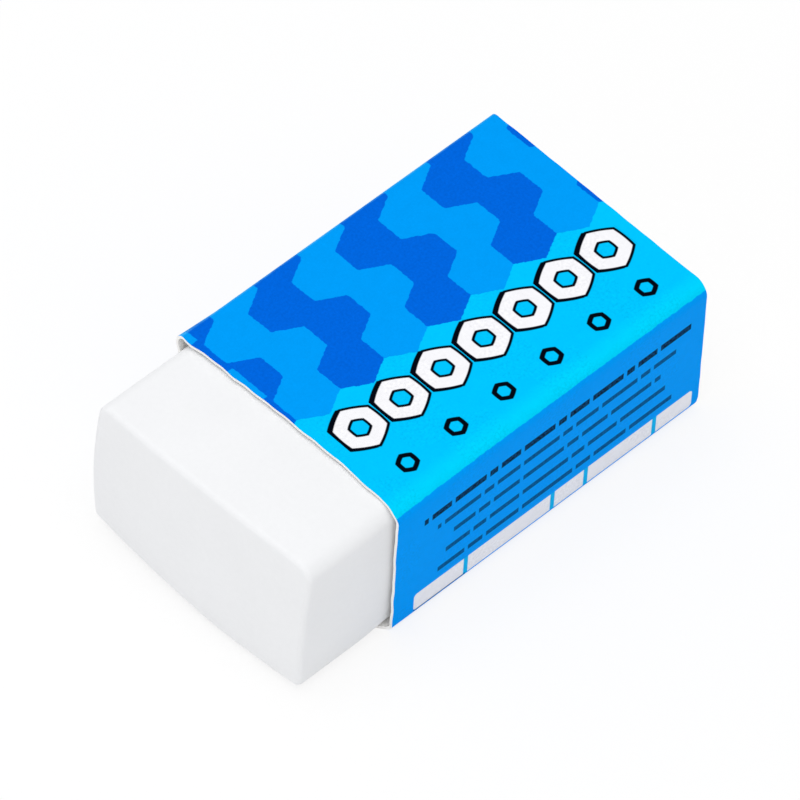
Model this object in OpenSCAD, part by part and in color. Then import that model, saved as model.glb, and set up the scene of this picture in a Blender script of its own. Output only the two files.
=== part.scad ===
/* [Sleeve] */
// Length of the card sleeve, along X
sleeve_length = 28; // [16:0.5:60]
// Outer width of the sleeve, over the ground colour
sleeve_width = 20; // [18:0.5:40]
// Outer height of the sleeve, over the ground colour
sleeve_height = 12.2; // [11:0.1:20]
// Thickness of the card without its ink
card_t = 0.2; // [0.18:0.01:0.4]
// Thickness of one film of ink
ink_t = 0.02; // [0.01:0.005:0.04]
// Outer radius of the three crisp folds
crisp_fold_r = 0.5; // [0.5:0.05:1]
// Outer radius of the soft fold between the broad face and the near side
soft_fold_r = 1.1; // [0.6:0.05:1.5]
// Width of the glued lap on the underside
lap_width = 6; // [3:0.5:8]
// Distance of the lap's open edge from the far fold
lap_inset = 4; // [2:0.5:6]
// How far the outer flap of the lap sticks out past the mouth
lip_lead = 0.8; // [0:0.1:2]
// Distance from the near fold over which the lip rises to its full lead
lip_run = 1.2; // [0.5:0.1:4]

/* [Block] */
// Length of block that stands out of the sleeve
bare_length = 8.4; // [3:0.1:20]
// Running gap between the block and the card on each side
side_gap = 0.1; // [0.05:0.05:0.3]
// Running gap above and below the block
face_gap = 0.06; // [0.05:0.01:0.3]
// Radius of the two upper long edges
edge_r = 1.1; // [0.4:0.1:2]
// Radius of the two lower long edges, which are crisper
foot_edge_r = 0.5; // [0.3:0.1:2]
// Radius of the edges round the two end faces
end_edge_r = 0.4; // [0.3:0.1:0.8]
// How far the broad faces swell at their middle
face_crown = 0.15; // [0.1:0.05:0.4]
// How far the long side faces swell at their middle
side_crown = 0.1; // [0.05:0.05:0.4]
// How far the two end faces swell at their middle
end_crown = 0.7; // [0.1:0.05:0.8]
// How much further the foot of the bare end reaches than its top
end_lean = 0.7; // [0:0.05:1]
// How much further the far edge of the bare end reaches than its near edge
end_skew = 0.25; // [0:0.05:0.5]

/* [Honeycomb] */
// Width of a hexagon, along the sleeve
hex_w = 3.9; // [3:0.1:6]
// Spacing of the rows of hexagons, across the sleeve
row_pitch = 3.2; // [2.4:0.1:3.4]
// Distance from the far fold to the middle of the first row
first_row = -0.4; // [-1:0.1:0]
// Distance from the rear edge to the middle of the first dark column
first_column = 4.3; // [0:0.1:7]

/* [Ornament] */
// Across-flats size of a large white ring on the clear band
ring_w = 3.2; // [2:0.1:3.2]
// Across-flats size of the eye in a ring
ring_eye = 1.1; // [0.7:0.1:1.3]
// Width of the black line round a ring, and the shift of its shadow
outline_w = 0.2; // [0.15:0.01:0.3]
// Distance from the near fold to the middle of the row of rings
ring_line = 6.6; // [6:0.05:6.9]
// Spacing of the rings along the sleeve
ring_pitch = 3.7; // [3.7:0.1:8]
// Distance from the near fold to the middle of the row of small marks
mark_line = 2.6; // [2.4:0.05:2.8]
// Across-flats size of a small black mark
mark_w = 1.5; // [0.9:0.1:1.7]
// Stroke width of a small black mark
mark_stroke = 0.34; // [0.2:0.02:0.4]
// Spacing of the small marks along the sleeve
mark_pitch = 4.3; // [2:0.05:8]

/* [Near side] */
// Height of the row of blank white boxes
box_height = 1.6; // [1:0.1:2]
// Width of the coloured lines between the boxes
box_gap = 0.3; // [0.2:0.05:0.6]
// Plain margin at both ends of the sleeve
print_margin = 1; // [0.5:0.1:2]
// Distance from the top of the near side to the first thin rule
rule_top = 3.2; // [2.5:0.1:3.5]
// Spacing of the thin rules
rule_pitch = 1.35; // [1:0.05:1.4]
// Thickness of a thin rule
rule_w = 0.3; // [0.2:0.05:0.5]

/* [Hidden] */
$fn = 64;
clear_blue = "#00C8FA";
mid_blue = "#0399F4";
dark_blue = "#0265E2";
ink_black = "#06101F";
ink_white = "#F5F6FA";
block_white = "#EFF0F2";
// thickness of the card with its ground colour
wall = card_t + ink_t;
length = sleeve_length + bare_length;
rear_x = length / 2;
mouth_x = rear_x - sleeve_length;
far_y = sleeve_width / 2;
near_y = -sleeve_width / 2;
// the block fills the sleeve but for its running gaps and the doubled card below it
block_w = sleeve_width - 2 * wall - 2 * side_gap;
block_floor = wall + card_t + face_gap;
block_h = sleeve_height - wall - face_gap - block_floor;
// smallest radius left at a corner of the block's end faces
tight_r = 0.1;
// margin by which cutting shapes pass what they cut
over = 1;
// depth to which ink soaks into what it is printed on
soak = ink_t / 2;
// open edges of the two flaps that make the lap
outer_edge = far_y - lap_inset;
inner_edge = outer_edge - lap_width;
// rows of the honeycomb that the broad face and the far side show
face_rows = [0:3];
side_rows = [-ceil(sleeve_height / row_pitch):0];
last_row = first_row + 3 * row_pitch;
// how far round the soft fold the clear band reaches
band_drop = soft_fold_r / 2;
rule_shares = [1, 0.91, 0.79, 0.82, 0.86];
box_shares = [0.2, 0.3, 0.12, 0.24, 0.14];

// sum of the first n numbers of a list
function sum_to(v, n) = n <= 0 ? 0 : v[n - 1] + sum_to(v, n - 1);
// places of as many copies as fit a length, spread evenly round the sleeve's middle
function spread(size, pitch) =
    let (n = floor((sleeve_length - 2 * print_margin - size) / pitch))
    [for (i = [0:n]) rear_x - sleeve_length / 2 + (i - n / 2) * pitch];

// a flat outline in Y and Z, drawn out along X over the sleeve's length
module along_sleeve() {
    translate([mouth_x, 0, 0])
        rotate([90, 0, 90])
            linear_extrude(height = sleeve_length)
                children();
}

// rectangle from z0 to z1 with rounded corners, the upper near one softer than the others
module fold_outline(w, z0, z1, crisp_r, soft_r) {
    corners = [[1, z0, crisp_r], [1, z1, crisp_r], [-1, z0, crisp_r], [-1, z1, soft_r]];
    difference() {
        translate([-w / 2, z0])
            square([w, z1 - z0]);
        for (c = corners)
            translate([c[0] * w / 2, c[1]])
                square(2 * c[2], center = true);
    }
    for (c = corners)
        translate([c[0] * (w / 2 - c[2]), c[1] == z0 ? z0 + c[2] : z1 - c[2]])
            circle(r = c[2]);
}

// a closed loop of sheet of thickness t, its outer face taken in by inset and standing on z0
module sheet_loop(inset, z0, t) {
    w = sleeve_width - 2 * inset;
    z1 = sleeve_height - inset;
    crisp_r = crisp_fold_r - inset;
    soft_r = soft_fold_r - inset;
    difference() {
        fold_outline(w, z0, z1, crisp_r, soft_r);
        fold_outline(w - 2 * t, z0 + t, z1 - t, crisp_r - t, soft_r - t);
    }
}

// everything from y0 to y1, as a cutting outline
module y_span(y0, y1) {
    translate([y0, -over])
        square([y1 - y0, sleeve_height + 2 * over]);
}

// the folded strip: the outer flap comes from the near fold, the inner one from the far fold
module folded_card() {
    along_sleeve() {
        intersection() {
            sheet_loop(ink_t, ink_t, card_t);
            y_span(near_y - over, outer_edge);
        }
        intersection() {
            sheet_loop(ink_t, wall, card_t);
            y_span(inner_edge, far_y + over);
        }
    }
    lip(ink_t, card_t);
}

// the stretch of the outer flap past the mouth, from z0 up and of thickness t
module lip(z0, t) {
    translate([mouth_x, 0, z0])
        linear_extrude(height = t)
            polygon([
                [over, near_y + crisp_fold_r],
                [0, near_y + crisp_fold_r],
                [-lip_lead, near_y + crisp_fold_r + lip_run],
                [-lip_lead, outer_edge],
                [over, outer_edge]
            ]);
}

// the first film of ink, all round the strip's outer face
module ground_loop() {
    intersection() {
        sheet_loop(0, 0, ink_t + soak);
        y_span(near_y - over, outer_edge);
    }
    intersection() {
        sheet_loop(0, card_t, ink_t + soak);
        y_span(outer_edge, far_y + over);
    }
}

// the part of the section where the ground is the clear blue band
module band_zone() {
    translate([near_y - over, sleeve_height - band_drop])
        square([far_y - last_row - near_y + over, band_drop + over]);
}

module ground_colour() {
    color(clear_blue)
        along_sleeve()
            intersection() {
                ground_loop();
                band_zone();
            }
    color(mid_blue) {
        along_sleeve()
            difference() {
                ground_loop();
                band_zone();
            }
        lip(0, ink_t + soak);
    }
}

// films of ink over the ground colour
module films(count) {
    translate([0, 0, -soak])
        linear_extrude(height = soak + count * ink_t)
            children();
}

// print on the broad face: X along the sleeve, Y counted from the far fold
module on_face(count) {
    translate([0, far_y, sleeve_height])
        mirror([0, 1, 0])
            films(count)
                children();
}

// print on the far side: X along the sleeve, Y negative below the far fold
module on_far_side(count) {
    translate([0, far_y, sleeve_height])
        mirror([0, 1, 0])
            rotate([90, 0, 0])
                films(count)
                    children();
}

// print on the near side: X along the sleeve, Y counted down from the top
module on_near_side(count) {
    translate([0, near_y, sleeve_height])
        mirror([0, 0, 1])
            rotate([90, 0, 0])
                films(count)
                    children();
}

// cells of the given rows; every second cell of a row is dark, and odd rows lie half a cell on
module cells(rows, dark) {
    columns = ceil(sleeve_length / hex_w / 2) + 1;
    shift = dark ? 0 : hex_w;
    half = hex_w / 2;
    // a cell's flat edges reach a third of the row pitch from its middle, and its points two thirds
    flat = row_pitch / 3;
    point = 2 * flat;
    for (row = rows)
        for (i = [-1:columns])
            translate([
                rear_x - first_column - shift - i * 2 * hex_w - abs(row) % 2 * half,
                first_row + row * row_pitch
            ])
                polygon([
                    [0, point], [half, flat], [half, -flat], [0, -point], [-half, -flat], [-half, flat]
                ]);
}

// what lies on the flat of a panel, from v0 to v1 across the print
module panel(v0, v1) {
    intersection() {
        children();
        translate([mouth_x, v0])
            square([sleeve_length, v1 - v0]);
    }
}

module honeycomb() {
    color(mid_blue)
        on_face(1)
            panel(crisp_fold_r, sleeve_width - soft_fold_r)
                cells([3:3], false);
    color(dark_blue) {
        on_face(2)
            panel(crisp_fold_r, sleeve_width - soft_fold_r)
                cells(face_rows, true);
        on_far_side(2)
            panel(crisp_fold_r - sleeve_height + card_t, -crisp_fold_r)
                cells(side_rows, true);
    }
}

// a hexagon with a point towards each long edge of the sleeve
module hexagon(across_flats) {
    rotate(90)
        circle(d = across_flats / cos(30), $fn = 6);
}

module ring_outline() {
    difference() {
        for (s = [0, outline_w])
            translate([s, s])
                hexagon(ring_w + 2 * outline_w);
        hexagon(ring_eye);
    }
}

module ring() {
    difference() {
        hexagon(ring_w);
        hexagon(ring_eye + 2 * outline_w);
    }
}

module small_mark() {
    difference() {
        hexagon(mark_w);
        hexagon(mark_w - 2 * mark_stroke);
    }
}

module ornament() {
    color(ink_black)
        on_face(1) {
            for (x = spread(ring_w, ring_pitch))
                translate([x, sleeve_width - ring_line])
                    ring_outline();
            for (x = spread(mark_w, mark_pitch))
                translate([x, sleeve_width - mark_line])
                    small_mark();
        }
    color(ink_white)
        on_face(2)
            for (x = spread(ring_w, ring_pitch))
                translate([x, sleeve_width - ring_line])
                    ring();
}

module near_side_print() {
    print_length = sleeve_length - 2 * print_margin;
    color(ink_black)
        on_near_side(1)
            for (i = [0:len(rule_shares) - 1])
                translate([rear_x - sleeve_length / 2, rule_top + i * rule_pitch])
                    square([print_length * rule_shares[i], rule_w], center = true);
    color(ink_white)
        on_near_side(1)
            for (i = [0:len(box_shares) - 1])
                translate([
                    mouth_x + print_margin + print_length * sum_to(box_shares, i) + box_gap / 2,
                    sleeve_height - crisp_fold_r - box_height
                ])
                    square([print_length * box_shares[i] - box_gap, box_height]);
}

module card_sleeve() {
    color("white")
        folded_card();
    ground_colour();
    honeycomb();
    ornament();
    near_side_print();
}

// a quarter turn in steps of s degrees, from a
function quarter(a, s) = [for (i = [0:90 / s]) a + i * s];

// section of the block taken in by t, as points counted from its middle: rounded corners
// joined by straight runs that are cut into steps so that the faces can swell
function section(t) =
    let (
        w = block_w / 2 - t,
        h = block_h / 2 - t,
        r = max(edge_r - t, tight_r),
        foot_r = max(foot_edge_r - t, tight_r),
        rise = (2 * h - r - foot_r) / 4
    )
    concat(
        [for (a = quarter(0, 15)) [w - r + r * cos(a), h - r + r * sin(a)]],
        [for (i = [1:7]) [(w - r) * (1 - i / 4), h]],
        [for (a = quarter(90, 15)) [r - w + r * cos(a), h - r + r * sin(a)]],
        [for (i = [1:3]) [-w, h - r - i * rise]],
        [for (a = quarter(180, 15)) [foot_r - w + foot_r * cos(a), foot_r - h + foot_r * sin(a)]],
        [for (i = [1:7]) [(w - foot_r) * (i / 4 - 1), -h]],
        [for (a = quarter(270, 15)) [w - foot_r + foot_r * cos(a), foot_r - h + foot_r * sin(a)]],
        [for (i = [1:3]) [w, foot_r - h + i * rise]]
    );

// the same section shrunk towards its middle by k, on an end face
function shrunk(k) = [for (p = section(end_edge_r)) k * p];

// swells a point of the plain rounded block: each face rises towards its own middle, and the
// bare end leans out at its foot and at its far edge
function swell(p) =
    let (
        a = 2 * p[1] / block_w,
        b = 2 * p[2] / block_h,
        lean = max(0, -2 * p[0] / length) * (end_lean * b - end_skew * a) / 2
    )
    [
        p[0] * (1 - 2 * end_crown / length * (a * a + b * b) / 2) + lean,
        p[1] * (1 - 2 * side_crown / block_w * b * b),
        p[2] * (1 - 2 * face_crown / block_h * a * a)
    ];

// the rings of one end, from the middle of its face out and round its edge
function end_rings(side) =
    let (x = length / 2)
    concat(
        [for (k = [0.25, 0.5, 0.75]) [for (p = shrunk(k)) [side * x, p[0], p[1]]]],
        [for (a = [90:-15:0]) [
            for (p = section(end_edge_r * (1 - cos(a))))
                [side * (x - end_edge_r + end_edge_r * sin(a)), p[0], p[1]]
        ]]
    );

function reversed(v) = [for (i = [len(v) - 1:-1:0]) v[i]];

module eraser_block() {
    rings = concat(end_rings(-1), reversed(end_rings(1)));
    n = len(rings[0]);
    m = len(rings);
    points = concat(
        [for (ring = rings) for (p = ring) swell(p)],
        [[-length / 2, 0, 0], [length / 2, 0, 0]]
    );
    sides = [
        for (j = [0:m - 2]) for (i = [0:n - 1])
            let (k = (i + 1) % n, a = j * n, b = a + n)
            for (f = [[a + i, b + k, a + k], [a + i, b + i, b + k]])
                f
    ];
    fans = [
        for (i = [0:n - 1])
            let (k = (i + 1) % n)
            for (f = [[m * n, i, k], [m * n + 1, (m - 1) * n + k, (m - 1) * n + i]])
                f
    ];
    color(block_white)
        translate([0, 0, block_floor + block_h / 2])
            polyhedron(points = points, faces = concat(sides, fans));
}

eraser_block();
card_sleeve();
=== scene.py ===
import math

import bmesh
import bpy
from mathutils import Matrix, Vector, noise


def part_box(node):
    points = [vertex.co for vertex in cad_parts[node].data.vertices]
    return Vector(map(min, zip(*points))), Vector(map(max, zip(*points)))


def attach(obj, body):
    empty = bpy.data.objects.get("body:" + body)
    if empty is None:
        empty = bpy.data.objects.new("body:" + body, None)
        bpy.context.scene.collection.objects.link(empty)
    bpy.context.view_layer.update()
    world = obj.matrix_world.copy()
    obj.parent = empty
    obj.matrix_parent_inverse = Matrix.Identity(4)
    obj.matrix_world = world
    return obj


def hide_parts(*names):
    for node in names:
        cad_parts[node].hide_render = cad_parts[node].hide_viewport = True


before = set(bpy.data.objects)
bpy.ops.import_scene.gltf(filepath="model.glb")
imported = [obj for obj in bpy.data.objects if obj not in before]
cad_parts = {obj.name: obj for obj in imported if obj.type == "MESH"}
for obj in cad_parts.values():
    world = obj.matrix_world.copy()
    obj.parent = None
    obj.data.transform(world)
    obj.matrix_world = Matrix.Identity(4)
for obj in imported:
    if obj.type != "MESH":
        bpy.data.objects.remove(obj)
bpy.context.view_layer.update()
mm = 0.001
print("frame loaded")


# a shader socket that can stand in a Python expression
class Wire:
    def __init__(self, nodes, socket):
        self.nodes = nodes
        self.socket = socket

    def calc(self, operation, *others, clamp=False):
        values = dict(enumerate([self, *others]))
        return self.nodes.add("ShaderNodeMath", {"operation": operation, "use_clamp": clamp}, values)

    def __add__(self, other):
        return self.calc("ADD", other)

    def __sub__(self, other):
        return self.calc("SUBTRACT", other)

    def __mul__(self, other):
        return self.calc("MULTIPLY", other)

    def __truediv__(self, other):
        return self.calc("DIVIDE", other)

    def __rsub__(self, other):
        return self.calc("MULTIPLY", -1) + other

    def __abs__(self):
        return self.calc("ABSOLUTE")

    __radd__ = __add__
    __rmul__ = __mul__

    def least(self, other):
        return self.calc("MINIMUM", other)

    def most(self, other):
        return self.calc("MAXIMUM", other)

    def wrapped(self, period):  # the distance from the nearest multiple of period, with its sign
        return self.calc("WRAP", period / 2, -period / 2)

    def above(self, edge, soft):  # 0 below the edge, 1 above it, with a soft step between
        return ((self - edge) / soft).calc("ADD", 0.5, clamp=True)

    def below(self, edge, soft):
        return 1 - self.above(edge, soft)


# the nodes of one material, or of the world
class Nodes:
    def __init__(self, tree):
        self.tree = tree
        tree.nodes.clear()

    def add(self, kind, settings, values, output=0):
        node = self.tree.nodes.new(kind)
        for key, value in settings.items():
            setattr(node, key, value)
        for key, value in values.items():
            if isinstance(value, Wire):
                self.tree.links.new(value.socket, node.inputs[key])
            else:
                node.inputs[key].default_value = value
        return Wire(self, node.outputs[output]) if node.outputs else None

    def surface(self, values):
        shader = self.add("ShaderNodeBsdfPrincipled", {}, values)
        self.add("ShaderNodeOutputMaterial", {}, {"Surface": shader})

    def seen(self):  # 1 for what the camera sees, directly, mirrored or through glass
        camera = self.add("ShaderNodeLightPath", {}, {}, "Is Camera Ray")
        glossy = self.add("ShaderNodeLightPath", {}, {}, "Is Glossy Ray")
        through = self.add("ShaderNodeLightPath", {}, {}, "Is Transmission Ray")
        return camera.most(glossy).most(through)

    def mix(self, factor, a, b):
        return self.add("ShaderNodeMix", {"data_type": "RGBA"}, {0: factor, 6: a, 7: b}, 2)

    def vector(self, operation, a, b):
        return self.add("ShaderNodeVectorMath", {"operation": operation}, {0: a, 1: b})

    def split(self, place):  # into its X and its Y
        return [self.add("ShaderNodeSeparateXYZ", {}, {0: place}, output) for output in (0, 1)]

    def grain(self, place, scale, detail, output=0):
        values = {"Vector": place, "Scale": scale, "Detail": detail, "Roughness": 0.6}
        return self.add("ShaderNodeTexNoise", {}, values, output)

    def bump(self, height, distance, strength):
        values = {"Height": height, "Distance": distance, "Strength": strength}
        return self.add("ShaderNodeBump", {}, values)


def clamped(value):
    return min(1, max(0, value))


def eased(value):
    value = clamped(value)
    return value * value * (3 - 2 * value)


def only(geom, kind):
    return [item for item in geom if isinstance(item, kind)]


def srgb(red, green, blue):
    def linear(value):
        value /= 255
        return value / 12.92 if value <= 0.04045 else ((value + 0.055) / 1.055) ** 2.4

    return (linear(red), linear(green), linear(blue), 1)


def newMaterial(name):
    material = bpy.data.materials.new(name)
    material.use_nodes = True
    return material


def newPiece(name, bm, materials):
    mesh = bpy.data.meshes.new(name)
    bm.to_mesh(mesh)
    bm.free()
    piece = bpy.data.objects.new(name, mesh)
    bpy.context.scene.collection.objects.link(piece)
    for material in materials:
        mesh.materials.append(material)
    return piece


# makes the piece's modifiers part of its mesh, smooth but for its sharp edges
def settle(piece, sharpAngle):
    graph = bpy.context.evaluated_depsgraph_get()
    mesh = bpy.data.meshes.new_from_object(piece.evaluated_get(graph))
    piece.modifiers.clear()
    piece.data = mesh
    mesh.polygons.foreach_set("use_smooth", [True] * len(mesh.polygons))
    mesh.set_sharp_from_angle(angle=math.radians(sharpAngle))


# where the photograph was taken from
cameraLook = {
    "azimuth": -47.36,
    "elevation": 50.35,
    "roll": 3.89,
    "distance": 632.4 * mm,
    "lens": 439.9,
    "right": -2.74 * mm,  # aim, from the middle of the sleeve
    "up": -2.02 * mm,
}


def makeCamera(size):
    look = cameraLook
    azimuth, elevation = math.radians(look["azimuth"]), math.radians(look["elevation"])
    flat = math.cos(elevation)
    back = Vector((math.sin(azimuth) * flat, -math.cos(azimuth) * flat, math.sin(elevation)))
    roll = Matrix.Rotation(math.radians(look["roll"]), 3, "Z")
    turn = (-back).to_track_quat("-Z", "Y").to_matrix() @ roll
    aim = size.middle + turn @ Vector((look["right"], look["up"], 0))
    data = bpy.data.cameras.new("camera")
    data.lens = look["lens"]
    data.clip_start, data.clip_end = 0.01, 10
    camera = bpy.data.objects.new("camera", data)
    camera.matrix_world = Matrix.Translation(aim + back * look["distance"]) @ turn.to_4x4()
    bpy.context.scene.collection.objects.link(camera)
    bpy.context.scene.camera = camera
    print("camera set")


# the block: soft moulded vinyl, a little fuller in the middle of each face
blockLook = {
    "upperEdge": 1.1 * mm,  # radius of the two upper long edges
    "footEdge": 0.5 * mm,  # radius of the two lower ones
    "endEdge": 0.4 * mm,  # radius of those round the end faces
    "edgeSteps": 8,
    "settle": 0.2 * mm,  # how far the near half sinks where the card below is single
    "faceCrown": 0.15 * mm,
    "sideCrown": 0.1 * mm,
    "endCrown": 0.7 * mm,
    "endLean": 0.7 * mm,  # how much further the foot of the bare end reaches than its top
    "endSkew": 0.25 * mm,  # and its middle than its near edge
    "endTwist": 0.55 * mm,  # how much less the far edge leans
    "waist": 0.15 * mm,  # how far the card's edge has pressed the near side in
    "waistFront": 3 * mm,  # how far it reaches before and behind the sleeve's mouth
    "waistBack": 7 * mm,
    "shoulder": 0.23 * mm,  # how far the whole near top edge is down, to clear the sagging mouth
    "shoulderIn": 0.1 * mm,  # and in
    "cuts": (14, 12, 8),  # planes that slice the block along X, Y and Z
    "waistCuts": 7,
    "waistSpan": 1.5,  # the length those planes take up, as a share of waistFront
    "sharpAngle": 80,
    "colour": srgb(241, 242, 244),
    "shade": 0.93,  # of the darker patches
    "patches": 180,  # finenesses of the texture
    "grain": 2600,
    "pores": 7000,
    "grainDepth": 0.02 * mm,
    "roughness": 0.5,
    "specular": 0.2,
}


def rubberMaterial():
    look = blockLook
    material = newMaterial("white_rubber")
    nodes = Nodes(material.node_tree)
    place = nodes.add("ShaderNodeTexCoord", {}, {}, "Object")
    cloud = nodes.grain(place, look["patches"], 3)
    fine = nodes.grain(place, look["grain"], 3)
    pores = nodes.grain(place, look["pores"], 2)
    patches = (cloud * 0.6 + fine * 0.4).above(0.42, 0.5) * 0.6
    darker = tuple(value * look["shade"] for value in look["colour"][:3]) + (1,)
    nodes.surface({
        "Base Color": nodes.mix(patches, look["colour"], darker),
        "Roughness": look["roughness"] + (fine - 0.5) * 0.2,
        "Normal": nodes.bump(fine * 0.6 + pores * 0.4, look["grainDepth"], 0.5),
        "Specular IOR Level": look["specular"],
    })
    return material


def roundEdges(bm, edges, radius):
    bmesh.ops.bevel(
        bm, geom=edges, offset=radius, offset_type="OFFSET", affect="EDGES",
        segments=blockLook["edgeSteps"], profile=0.5, material=-1, clamp_overlap=True,
    )


def sliceBlock(bm, place, normal):
    geom = bm.verts[:] + bm.edges[:] + bm.faces[:]
    bmesh.ops.bisect_plane(bm, geom=geom, plane_co=place, plane_no=normal)


def makeBlock(sleeve):
    look = blockLook
    low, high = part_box("eraser_block")
    # the foot of the bare end leans out, so the end starts further in and the foot stays within the
    # frame's box
    low.x += (look["endLean"] ** 2 + look["endSkew"] ** 2) / (8 * look["endCrown"])
    size, centre = high - low, (low + high) / 2
    mouth = sleeve.mouth - centre.x
    bm = bmesh.new()
    bmesh.ops.create_cube(bm, size=1)
    bmesh.ops.scale(bm, vec=size, verts=bm.verts)
    for side, radius in ((1, look["upperEdge"]), (-1, look["footEdge"])):
        long = [edge for edge in bm.edges if abs(edge.verts[0].co.x - edge.verts[1].co.x) > size.x / 2]
        roundEdges(bm, [edge for edge in long if edge.verts[0].co.z * side > 0], radius)
    bm.normal_update()
    ends = [face for face in bm.faces if abs(face.normal.x) > 0.9]
    roundEdges(bm, list({edge for face in ends for edge in face.edges}), look["endEdge"])
    for axis, count in enumerate(look["cuts"]):
        reach = size[axis] / 2 - look["upperEdge"]
        normal = Vector([index == axis for index in range(3)])
        for step in range(1, count):
            sliceBlock(bm, normal * reach * (2 * step / count - 1), normal)
    for step in range(look["waistCuts"]):
        place = mouth + (step * look["waistSpan"] / (look["waistCuts"] - 1) - 1) * look["waistFront"]
        sliceBlock(bm, (place, 0, 0), (1, 0, 0))
    for vert in bm.verts:
        x, y, z = vert.co
        a, b = 2 * y / size.y, 2 * z / size.z
        sink = look["settle"] * clamped(-a * 5) * max(0, -b)
        tilt = look["endLean"] - look["endTwist"] * max(0, a)
        lean = max(0, -2 * x / size.x) * (tilt * b - look["endSkew"] * min(0, a)) / 2
        press = eased(1 + (x - mouth) / look["waistFront"])
        press *= clamped(1 - (x - mouth) / look["waistBack"])
        nearTop = (max(0, -a) * max(0, b)) ** 4
        inward = press * look["waist"] * max(0, -a) ** 4 + look["shoulderIn"] * nearTop
        vert.co = (
            x * (1 - 2 * look["endCrown"] / size.x * (a * a + b * b) / 2) + lean,
            y * (1 - 2 * look["sideCrown"] / size.y * b * b) + inward,
            z * (1 - 2 * look["faceCrown"] / size.z * a * a) - sink - look["shoulder"] * nearTop,
        )
    bmesh.ops.translate(bm, verts=bm.verts, vec=centre)
    bmesh.ops.recalc_face_normals(bm, faces=bm.faces)
    piece = newPiece("vinyl_block", bm, [rubberMaterial()])
    settle(piece, look["sharpAngle"])
    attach(piece, "block")
    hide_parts("eraser_block")
    print("block made")


# the folded card; lengths along it are counted from its rear edge, and lengths across the
# print from its far top fold
sleeveLook = {
    "card": 0.22 * mm,
    "glue": 0.01 * mm,
    "inkFilm": 0.02 * mm,  # how far the frame's own films of ink stand out
    "crispFold": 0.5 * mm,
    "softFold": 1.1 * mm,
    "lapInset": 4 * mm,
    "lapWidth": 6 * mm,
    "alongSteps": 56,
    "acrossStep": 0.35 * mm,
    "foldSteps": 8,
    "mouthReach": 9 * mm,  # how far back the open mouth is out of shape
    "mouthCrown": 0.12 * mm,
    "mouthSag": 0.36 * mm,  # of the top's near edge, no more than the block's shoulder clears
    "mouthRound": 0.12 * mm,  # how far the near top corner is pulled in
    "roundReach": 2.5 * mm,
    "edgeReach": 3 * mm,  # how far back the next three reach
    "mouthCurl": 0.25 * mm,  # of the far side, just below its fold
    "mouthSkew": 0.25 * mm,
    "flapLead": 0.8 * mm,  # how far the underside's flap sticks out
    "flapDepth": 0.6 * mm,
    "edgeWobble": 0.12 * mm,
    "edgeWaves": (150, 800, 800),  # its fineness along X, Y and Z
    "rearReach": 2 * mm,  # how far forward the rear edge is worn
    "rearWobble": 0.3,  # as a share of the mouth's
    "rearSkew": 0.2 * mm,  # how much shorter the near side is at its rear
    "rearRound": 0.5 * mm,  # how far the near foot's rear corner is worn back
    "rearFoot": 0.9 * mm,  # and how high up
    "sharpAngle": 40,
}


class SleeveSize:
    def __init__(self):
        look = sleeveLook
        low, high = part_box("card_sleeve")
        film = look["inkFilm"]
        self.rear, self.mouth = high.x, low.x + look["flapLead"]  # the frame's box takes in the lip
        self.far, self.near = high.y - 2 * film, low.y + film
        self.top = high.z - 2 * film
        self.middle = Vector(((self.rear + self.mouth) / 2, (self.far + self.near) / 2, self.top / 2))
        self.length = self.rear - self.mouth
        self.width = self.far - self.near
        # how much shorter the soft fold is than a square corner
        self.softLoss = (2 - math.pi / 2) * look["softFold"]


def addRun(bm, vert, step):
    count = max(1, math.ceil(step.length / sleeveLook["acrossStep"]))
    for _ in range(count):
        vert = bmesh.ops.extrude_vert_indiv(bm, verts=[vert])["verts"][0]
        bmesh.ops.translate(bm, verts=[vert], vec=step / count)
    return vert


def addFold(bm, vert, centre):
    result = bmesh.ops.spin(
        bm, geom=[vert], cent=centre, axis=(1, 0, 0), dvec=(0, 0, 0),
        angle=-math.pi / 2, steps=sleeveLook["foldSteps"], use_merge=False, use_duplicate=False,
    )
    return only(result["geom_last"], bmesh.types.BMVert)[0]


# the strip's outer face in section, from the outer flap's open edge round to the inner flap's
def sleeveSection(bm, size):
    look = sleeveLook
    crisp, soft = look["crispFold"], look["softFold"]
    start = Vector((size.rear, size.far - look["lapInset"], 0))
    vert = first = bm.verts.new(start)
    inner = look["card"] + look["glue"]  # the inner flap lies on the outer one
    vert = addRun(bm, vert, Vector((0, size.near + crisp - start.y, 0)))
    vert = addFold(bm, vert, Vector((size.rear, size.near + crisp, crisp)))
    vert = addRun(bm, vert, Vector((0, 0, size.top - soft - crisp)))
    vert = addFold(bm, vert, Vector((size.rear, size.near + soft, size.top - soft)))
    vert = addRun(bm, vert, Vector((0, size.width - soft - crisp, 0)))
    vert = addFold(bm, vert, Vector((size.rear, size.far - crisp, size.top - crisp)))
    vert = addRun(bm, vert, Vector((0, 0, inner + 2 * crisp - size.top)))
    vert = addFold(bm, vert, Vector((size.rear, size.far - crisp, inner + crisp)))
    addRun(bm, vert, Vector((0, crisp - look["lapInset"] - look["lapWidth"], 0)))
    return first


# how far across the print each point of the section lies
def measureAcross(first, layer, size):
    previous, vert, distance = None, first, 0
    ordered = []
    while vert:
        ordered.append((vert, distance))
        others = [edge.other_vert(vert) for edge in vert.link_edges]
        following = [other for other in others if other is not previous]
        previous, vert = vert, following[0] if following else None
        if vert:
            distance += (vert.co - previous.co).length
    # the first point on the broad face
    flat, reached = next(item for item in ordered if item[0].co.z > size.top - 1e-7)
    for vert, distance in ordered:
        vert[layer] = size.far - flat.co.y + reached - distance


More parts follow.
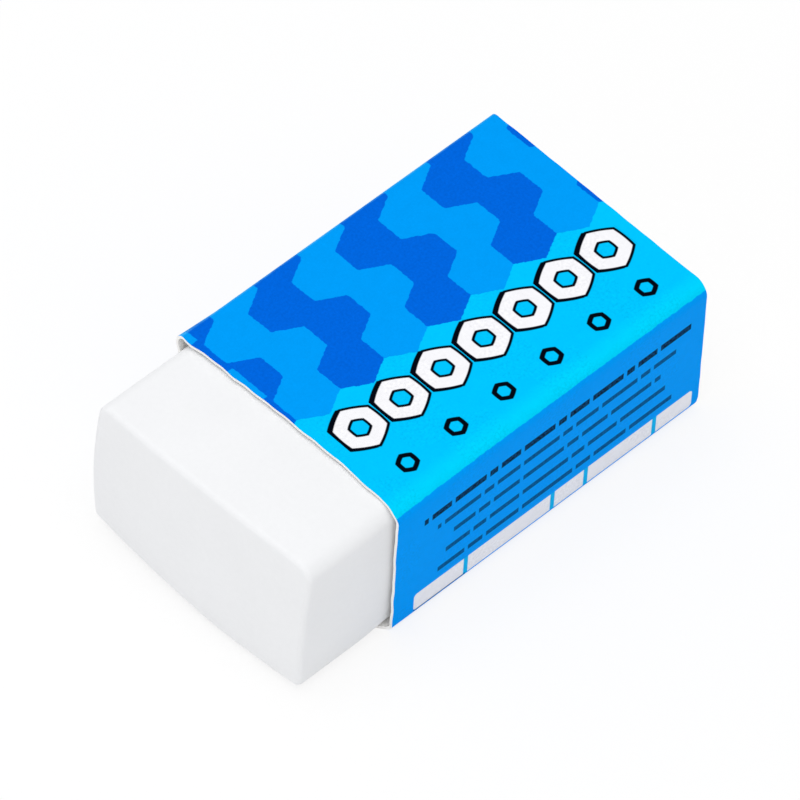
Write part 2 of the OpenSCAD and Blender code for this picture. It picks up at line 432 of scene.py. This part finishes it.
# bends the open mouth as the photograph shows it (crowned top, card out of square, loose flap),
# and wears both cut edges
def openMouth(co, size):
    look = sleeveLook
    share = eased(1 - (co.x - size.mouth) / look["mouthReach"])
    across = clamped((size.far - co.y) / size.width)  # 0 at the far side, 1 at the near side
    height = clamped(co.z / size.top)
    lift = look["mouthCrown"] * math.sin(math.pi * across)
    lift -= look["mouthSag"] * max(0, across * 2.5 - 1.5) ** 2
    corner = math.hypot((1 - across) * size.width, (1 - height) * size.top)
    cut = share * look["mouthRound"] * max(0, 1 - corner / look["roundReach"])
    co.y += cut
    co.z += share * height ** 3 * lift - cut
    edge = max(0, 1 - (co.x - size.mouth) / look["edgeReach"])
    belowFold = math.sin(math.pi * min(1, 8 - 8 * height))
    co.y += edge * look["mouthCurl"] * max(0, 1 - 10 * across) * belowFold
    co.x -= edge * look["mouthSkew"] * max(0, 1 - 2 * across) * height
    under = max(0, 1 - co.z / look["flapDepth"]) * min(1, (1 - across) * 16)
    co.x -= edge * look["flapLead"] * under
    wave = noise.noise(co * Vector(look["edgeWaves"]))
    rear = max(0, 1 - (size.rear - co.x) / look["rearReach"])
    nearFoot = max(0, 1 - co.z / look["rearFoot"]) ** 2 * max(0, 1 - (1 - across) * 6)
    co.x += max(edge, rear * look["rearWobble"]) * look["edgeWobble"] * wave
    co.x -= rear * (look["rearSkew"] * across * height + look["rearRound"] * nearFoot)


def makeSleeve(size):
    look = sleeveLook
    bm = bmesh.new()
    across = bm.verts.layers.float.new("across")
    unrolled = bm.loops.layers.uv.new("unrolled")
    measureAcross(sleeveSection(bm, size), across, size)
    edges = bm.edges[:]
    step = Vector((-size.length / look["alongSteps"], 0, 0))
    for _ in range(look["alongSteps"]):
        new = bmesh.ops.extrude_edge_only(bm, edges=edges)["geom"]
        bmesh.ops.translate(bm, verts=only(new, bmesh.types.BMVert), vec=step)
        edges = only(new, bmesh.types.BMEdge)
    bm.normal_update()
    broad = [face for face in bm.faces if face.calc_center_median().z > size.top - 1e-6]
    if broad[0].normal.z < 0:
        bmesh.ops.reverse_faces(bm, faces=bm.faces)
    for vert in bm.verts:
        openMouth(vert.co, size)
    for face in bm.faces:
        for loop in face.loops:
            loop[unrolled].uv = (size.rear - loop.vert.co.x, loop.vert[across])
    piece = newPiece("printed_sleeve", bm, [printMaterial(size), cardMaterial()])
    wall = piece.modifiers.new("card", "SOLIDIFY")
    wall.thickness = look["card"]
    wall.offset = -1
    wall.use_even_offset = True
    wall.material_offset = wall.material_offset_rim = 1
    settle(piece, look["sharpAngle"])
    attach(piece, "sleeve")
    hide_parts("card_sleeve")
    print("sleeve made")


# the print, in millimetres
printLook = {
    "hexWidth": 3.9,
    "rowPitch": 3.2,
    "firstRow": -0.4,
    "lastRow": 3,
    "firstColumn": 4.3,
    "border": 0.3,
    "rounding": 1.6,
    "sharpness": 0.06,
    "wobble": 0.22,
    "wobbleGrain": 2.8,
    "farFoot": 1,  # how far above the far side's foot the honeycomb ends
    "ringWidth": 3.2,
    "ringEye": 1.1,
    "ringLine": 6.6,
    "ringPitch": 3.7,
    "outline": 0.2,
    "shadow": (0.22, -0.06),
    "markWidth": 1.5,
    "markStroke": 0.34,
    "markLine": 2.6,
    "markPitch": 4.3,
    "margin": 1,
    "mouthMargin": 1.9,  # of what is printed on the near side
    "rearMargin": 0.7,
    "ruleTop": 3.05,
    "rulePitch": 1.52,
    "ruleWidth": 0.44,
    "firstRuleWidth": 0.56,
    "ruleShares": (0.96, 0.86, 0.74, 0.79, 0.84),
    "laterRuleInk": 0.8,
    "breakWidth": 0.32,
    "breakPitch": 3.1,  # in the first rule
    "breakGrowth": 0.45,  # from each rule to the next
    "breakShift": 1.3,
    "boxHeight": 1.6,
    "boxGap": 0.4,
    "boxCorner": 0.3,
    "boxShares": (0.184, 0.31, 0.12, 0.248, 0.138),
    "footLine": 0.1,
    "footLineInk": 0.8,
    "foldHighlightWidth": 0.24,  # of the painted highlight along the far fold, a lighter line where the fold catches the light
    "foldHighlightShare": 0.5,
    "fleckGrain": 5,
    "mottleGrain": 1.1,
    "grainDepth": 0.02 * mm,
    "foldBlend": 1.2,
    "clearBlue": srgb(0, 196, 254),
    "foldBlue": srgb(0, 212, 255),
    "midBlue": srgb(0, 156, 247),
    "sideBlue": srgb(0, 157, 255),
    "gapBlue": srgb(20, 185, 245),
    "darkBlue": srgb(0, 101, 220),
    # colour of the painted highlight along the far fold
    "foldHighlightBlue": srgb(90, 200, 250),
    "black": srgb(2, 6, 18),
    "white": srgb(246, 246, 250),
    "roughness": 0.42,
    "specular": 0.006,
}


# how much nearer a point is to one set of cell centres than to another, in millimetres
def cellStep(nearSquare, farSquare):
    look = printLook
    return ((farSquare - nearSquare) / (2 * look["hexWidth"])).above(0, look["sharpness"])


def squaredGap(x, y):
    return x * x + y * y


# cells of the honeycomb: every second one of a row is dark, odd rows lie half a cell on, and
# even rows stop short of the mouth
def honeycomb(x, y, length):
    look = printLook
    width = look["hexWidth"]
    stretch = width * math.sqrt(3) / 2 / look["rowPitch"]  # to regular hexagons
    pitch = look["rowPitch"] * stretch
    x = x - look["firstColumn"]
    y = (y - look["firstRow"]) * stretch

    def nearest(shift):
        even = squaredGap((x - shift).wrapped(2 * width), y.wrapped(2 * pitch))
        odd = squaredGap((x - shift - width / 2).wrapped(2 * width), (y - pitch).wrapped(2 * pitch))
        return even.calc("SMOOTH_MIN", odd, look["rounding"])

    dark = cellStep(nearest(0), nearest(width))
    border = x.above(length - look["firstColumn"] - look["border"], look["sharpness"])
    dark = dark * (1 - border * abs(y.wrapped(2 * pitch)).below(pitch / 2, look["sharpness"]))
    last = look["lastRow"]
    lastRow = squaredGap((x - width / 2 * (last % 2)).wrapped(width), y - last * pitch)
    nextRow = squaredGap((x - width / 2 * ((last + 1) % 2)).wrapped(width), y - (last + 1) * pitch)
    return dark, cellStep(nextRow, lastRow)


# distance from the middle of a hexagon with slightly rounded corners, half its width at its rim
def hexagonDistance(x, y):
    x, y = abs(x), abs(y)
    flat = x.most(x * 0.5 + y * (math.sqrt(3) / 2))
    return flat * 0.75 + squaredGap(x, y).calc("SQRT") * 0.25


# place of x in the nearest of the copies that fit the sleeve, and where those copies are
def copies(x, length, size, pitch):
    look = printLook
    gaps = math.floor((length - 2 * look["margin"] - size) / pitch)
    middle = x - length / 2
    place = (middle - pitch / 2 * (gaps % 2)).wrapped(pitch)
    return place, abs(middle).below((gaps + 1) * pitch / 2, look["sharpness"])


def ringMasks(x, y, size):
    look = printLook
    soft, outline = look["sharpness"], look["outline"]
    place, inside = copies(x, size.length / mm, look["ringWidth"], look["ringPitch"])
    y = y - (size.width / mm - look["ringLine"])
    rim, eye = look["ringWidth"] / 2, look["ringEye"] / 2
    distance = hexagonDistance(place, y)
    shadow = hexagonDistance(place - look["shadow"][0], y - look["shadow"][1])
    black = distance.least(shadow).below(rim + outline, soft) * distance.above(eye, soft)
    white = distance.below(rim, soft) * distance.above(eye + outline, soft)
    return black * inside, white * inside


def markMask(x, y, size):
    look = printLook
    soft = look["sharpness"]
    place, inside = copies(x, size.length / mm, look["markWidth"], look["markPitch"])
    distance = hexagonDistance(place, y - (size.width / mm - look["markLine"]))
    rim = look["markWidth"] / 2
    return distance.below(rim, soft) * distance.above(rim - look["markStroke"], soft) * inside


# thin rules on the near side, each broken at its own places
def ruleMask(along, down, length):
    look = printLook
    soft = look["sharpness"]
    gap = look["breakWidth"] / 2
    mask = None
    for index, share in enumerate(look["ruleShares"]):
        width = look["ruleWidth"] if index else look["firstRuleWidth"]
        line = abs(down - look["ruleTop"] - index * look["rulePitch"]).below(width / 2, soft)
        span = abs(along - length / 2).below(length * share / 2, soft)
        pitch = look["breakPitch"] + look["breakGrowth"] * index
        shifted = along + look["breakShift"] * index
        breaks = abs(shifted.wrapped(pitch)).above(gap, soft)
        breaks = breaks * abs((shifted - pitch / 3).wrapped(2 * pitch)).above(gap, soft)
        rule = line * span * breaks * (look["laterRuleInk"] if index else 1)
        mask = rule if mask is None else mask.most(rule)
    return mask


# a row of blank boxes along the foot of the near side, with lighter gaps, and a dark line under
# the first one
def boxMasks(along, down, size, length):
    look = printLook
    soft = look["sharpness"]
    foot = (size.top - sleeveLook["crispFold"]) / mm
    half, corner = look["boxHeight"] / 2, look["boxCorner"]
    outX = (abs(along - length / 2) - (length / 2 - corner)).most(0)
    outY = (abs(down - foot + half) - (half - corner)).most(0)
    row = squaredGap(outX, outY).calc("SQRT").below(corner, soft)
    boxes = row
    for index in range(1, len(look["boxShares"])):
        line = length * sum(look["boxShares"][:index])
        boxes = boxes * abs(along - line).above(look["boxGap"] / 2, soft)
    firstMiddle = length * look["boxShares"][0] / 2
    first = abs(along - firstMiddle).below(firstMiddle, soft)
    return row, boxes, abs(down - foot).below(look["footLine"] / 2, soft) * first


def printMaterial(size):
    look = printLook
    material = newMaterial("printed_card")
    nodes = Nodes(material.node_tree)
    unrolled = nodes.add("ShaderNodeUVMap", {"uv_map": "unrolled"}, {})
    place = nodes.vector("MULTIPLY", unrolled, (1 / mm, 1 / mm, 0))
    noisy = nodes.grain(place, look["wobbleGrain"], 2, "Color")
    shake = nodes.vector("SUBTRACT", noisy, (0.5, 0.5, 0.5))
    shake = nodes.vector("MULTIPLY", shake, (look["wobble"], look["wobble"], 0))
    x, y = nodes.split(place)
    shakenX, shakenY = nodes.split(nodes.vector("ADD", place, shake))
    soft = look["sharpness"]
    foldStart = (size.width - sleeveLook["softFold"]) / mm
    sideStart = foldStart + sleeveLook["softFold"] / mm * math.pi / 3
    sideTop = (size.width - size.softLoss) / mm
    dark, clear = honeycomb(shakenX, shakenY, size.length / mm)
    dark = dark * y.above(-size.top / mm + look["farFoot"], soft)
    colour = nodes.mix(dark, look["midBlue"], look["darkBlue"])
    band = nodes.mix(y.above(foldStart, look["foldBlend"]), look["clearBlue"], look["foldBlue"])
    colour = nodes.mix(clear, colour, band)
    colour = nodes.mix(shakenY.above(sideStart, soft), colour, look["sideBlue"])
    black, white = ringMasks(x, y, size)
    colour = nodes.mix(black.most(markMask(x, y, size)), colour, look["black"])
    colour = nodes.mix(white, colour, look["white"])
    down = y - sideTop
    along = size.length / mm - look["mouthMargin"] - x
    length = size.length / mm - look["mouthMargin"] - look["rearMargin"]
    fleck = nodes.grain(place, look["fleckGrain"], 3)
    inked = ruleMask(along, down, length) * (fleck * 0.8 + 0.5).least(1)
    colour = nodes.mix(inked, colour, look["black"])
    row, boxes, footLine = boxMasks(along, down, size, length)
    colour = nodes.mix(row, colour, look["gapBlue"])
    colour = nodes.mix(boxes, colour, look["white"])
    colour = nodes.mix(footLine * look["footLineInk"], colour, look["black"])
    mottle = nodes.grain(place, look["mottleGrain"], 4)
    # painted highlight: a lighter line along the far fold, where the fold catches the light, broken up
    # by the mottle
    foldMiddle = sleeveLook["crispFold"] / mm * (1 - math.pi / 4)
    foldHighlight = abs(y - foldMiddle).below(look["foldHighlightWidth"] / 2, 0.2) * mottle.above(0.4, 0.3)
    colour = nodes.mix(foldHighlight * look["foldHighlightShare"], colour, look["foldHighlightBlue"])
    shade = 0.97 + (mottle - 0.5) * 0.1 + (fleck - 0.5) * (dark * 0.3 + 0.12)
    values = {0: colour, "Scale": shade}
    nodes.surface({
        "Base Color": nodes.add("ShaderNodeVectorMath", {"operation": "SCALE"}, values),
        "Roughness": look["roughness"] + (fleck - 0.5) * 0.2,
        "Normal": nodes.bump(fleck * 0.6 + mottle * 0.4, look["grainDepth"], 0.35),
        "Specular IOR Level": look["specular"],
    })
    return material


# the uncoated back and the cut edges of the card
cardLook = {
    "colours": (srgb(255, 255, 254), srgb(247, 245, 241)),
    "roughness": 0.8,
}


def cardMaterial():
    material = newMaterial("card_core")
    nodes = Nodes(material.node_tree)
    place = nodes.add("ShaderNodeTexCoord", {}, {}, "Object")
    fibre = nodes.grain(place, 3000, 4)
    cloud = nodes.grain(place, 500, 2)
    nodes.surface({
        "Base Color": nodes.mix((fibre * 0.7 + cloud * 0.3).above(0.5, 0.5), *cardLook["colours"]),
        "Roughness": cardLook["roughness"] + (fibre - 0.5) * 0.2,
        "Normal": nodes.bump(fibre, 0.03 * mm, 0.5),
    })
    return material


# soft studio light: a pale world, a broad lamp overhead and a weaker one in front
lightLook = {
    "world": 0.63,
    "floor": (0.95, 0.95, 0.95, 1),
    "glow": 0.8,  # share of white glow in the floor that the camera sees
    "lamps": (
        ("overhead", (-0.05, 0.02, 0.5), 0.5, 1.28),  # place, width and power
        ("front_left", (-0.5, -0.15, 0.25), 0.4, 0.33),
    ),
}


def makeLight():
    look = lightLook
    world = bpy.data.worlds.new("studio")
    bpy.context.scene.world = world
    world.use_nodes = True
    nodes = Nodes(world.node_tree)
    strength = nodes.seen() * (1 - look["world"]) + look["world"]
    sky = nodes.add("ShaderNodeBackground", {}, {"Color": (1, 1, 1, 1), "Strength": strength})
    nodes.add("ShaderNodeOutputWorld", {}, {"Surface": sky})
    for name, place, width, power in look["lamps"]:
        data = bpy.data.lights.new(name, "AREA")
        data.size = width
        data.energy = power
        lamp = bpy.data.objects.new(name, data)
        lamp.location = place
        lamp.rotation_euler = (-Vector(place)).to_track_quat("-Z", "Y").to_euler()
        bpy.context.scene.collection.objects.link(lamp)
    print("light set")


# a white floor: what the camera sees of it is part glow, so that the shadow stays but is faint
def makeFloor():
    look = lightLook
    bm = bmesh.new()
    bmesh.ops.create_grid(bm, x_segments=1, y_segments=1, size=3)
    material = newMaterial("pale_floor")
    nodes = Nodes(material.node_tree)
    matt = nodes.add("ShaderNodeBsdfPrincipled", {}, {"Base Color": look["floor"], "Roughness": 0.9})
    glow = nodes.add("ShaderNodeEmission", {}, {"Color": (1, 1, 1, 1), "Strength": 1})
    both = nodes.add("ShaderNodeMixShader", {}, {0: nodes.seen() * look["glow"], 1: matt, 2: glow})
    nodes.add("ShaderNodeOutputMaterial", {}, {"Surface": both})
    floor = newPiece("floor", bm, [material])
    print("floor made")


sleeveSize = SleeveSize()
makeCamera(sleeveSize)
makeLight()
makeFloor()
makeBlock(sleeveSize)
makeSleeve(sleeveSize)
bpy.context.scene.view_settings.view_transform = "Standard"
